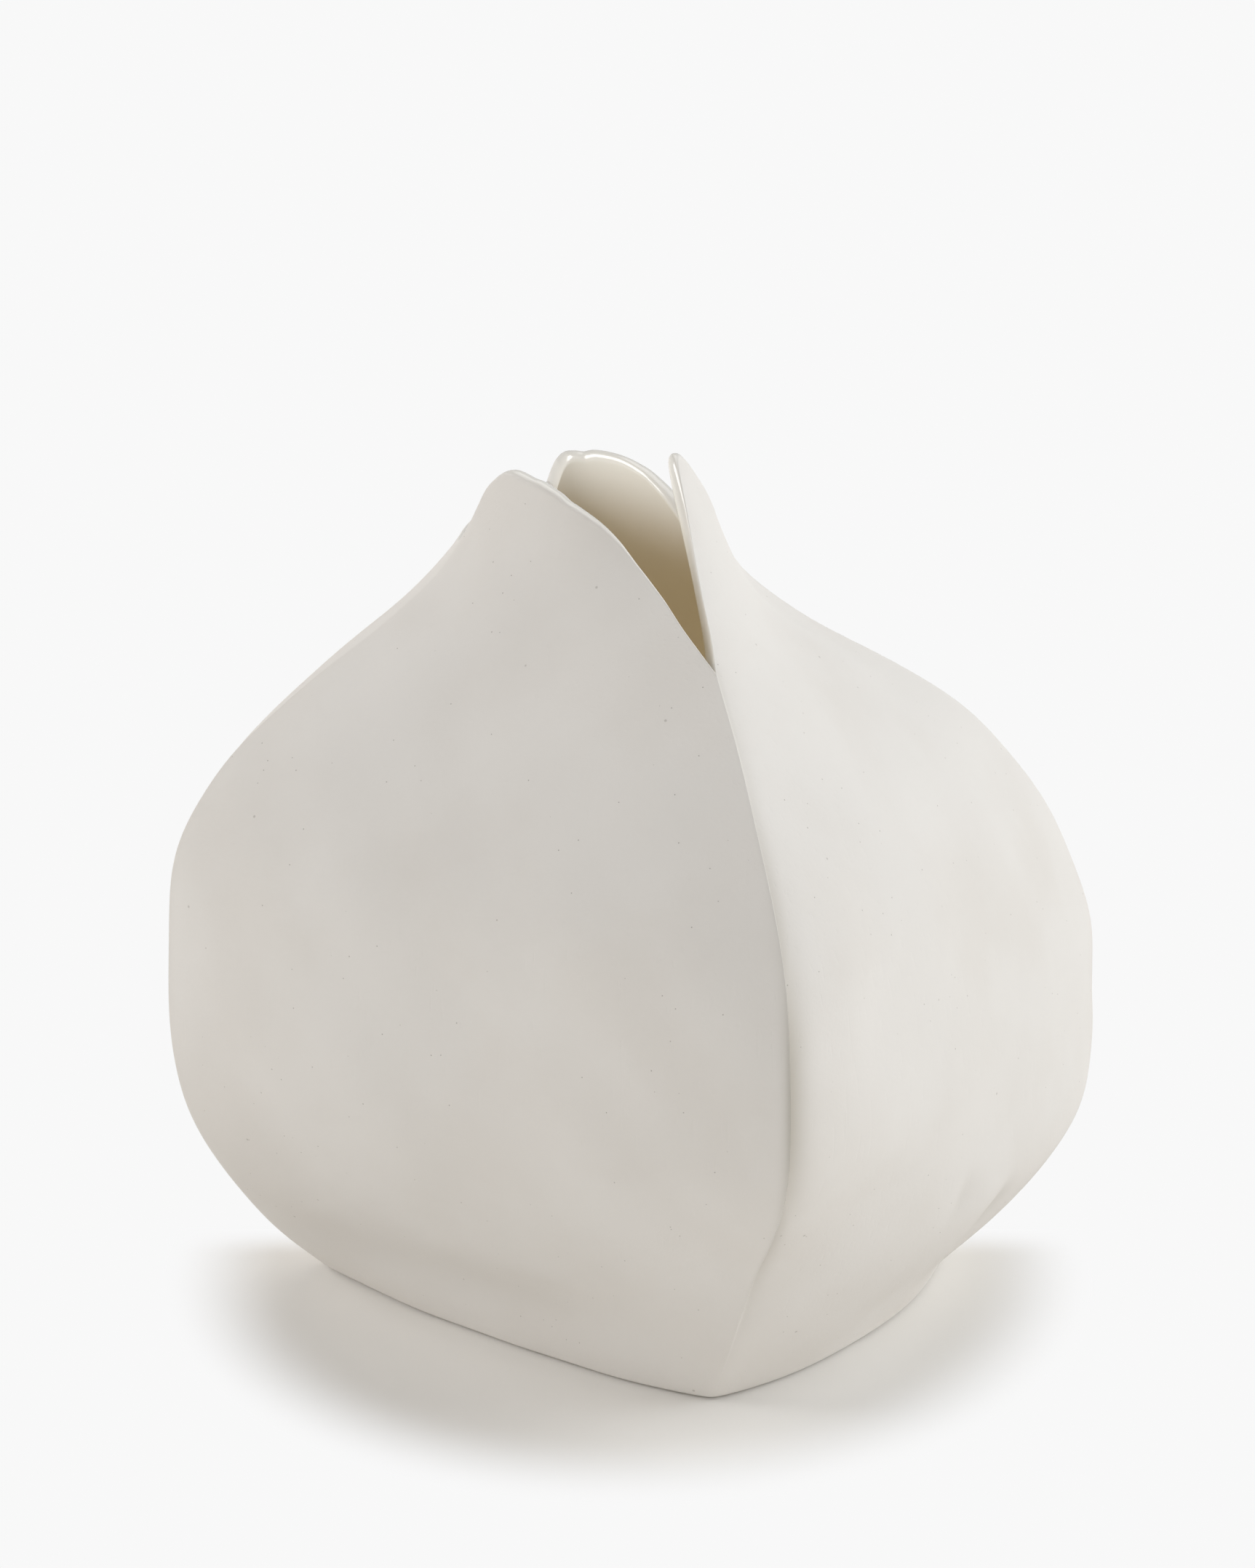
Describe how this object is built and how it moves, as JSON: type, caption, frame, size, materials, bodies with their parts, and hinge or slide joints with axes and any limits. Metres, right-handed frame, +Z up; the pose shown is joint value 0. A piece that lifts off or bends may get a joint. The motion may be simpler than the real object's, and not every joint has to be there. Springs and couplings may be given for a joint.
{
  "type": "pillow vase",
  "caption": "Square, soft-cornered porcelain vase whose slab walls swell like a pillow and close into upright petals round a narrow mouth.",
  "frame": {"origin": "on the table under the middle of the foot", "axes": "+Z up, -Y towards the front panel, +X towards the right panel"},
  "size_m": [0.1671, 0.1642, 0.1789],
  "materials": {
    "bisque_porcelain": "unglazed, matte, warm white",
    "glazed_porcelain": "clear glaze over warm white porcelain"
  },
  "bodies": {
    "root": {"floor_slab": "bisque_porcelain", "front_panel": "bisque_porcelain", "right_panel": "bisque_porcelain", "rear_panel": "bisque_porcelain", "left_panel": "bisque_porcelain", "front_right_seam_coil": "glazed_porcelain", "rear_right_seam_coil": "glazed_porcelain", "rear_left_seam_coil": "glazed_porcelain", "front_left_seam_coil": "glazed_porcelain", "front_base_coil": "glazed_porcelain", "right_base_coil": "glazed_porcelain", "rear_base_coil": "glazed_porcelain", "left_base_coil": "glazed_porcelain"}
  },
  "joints": []
}
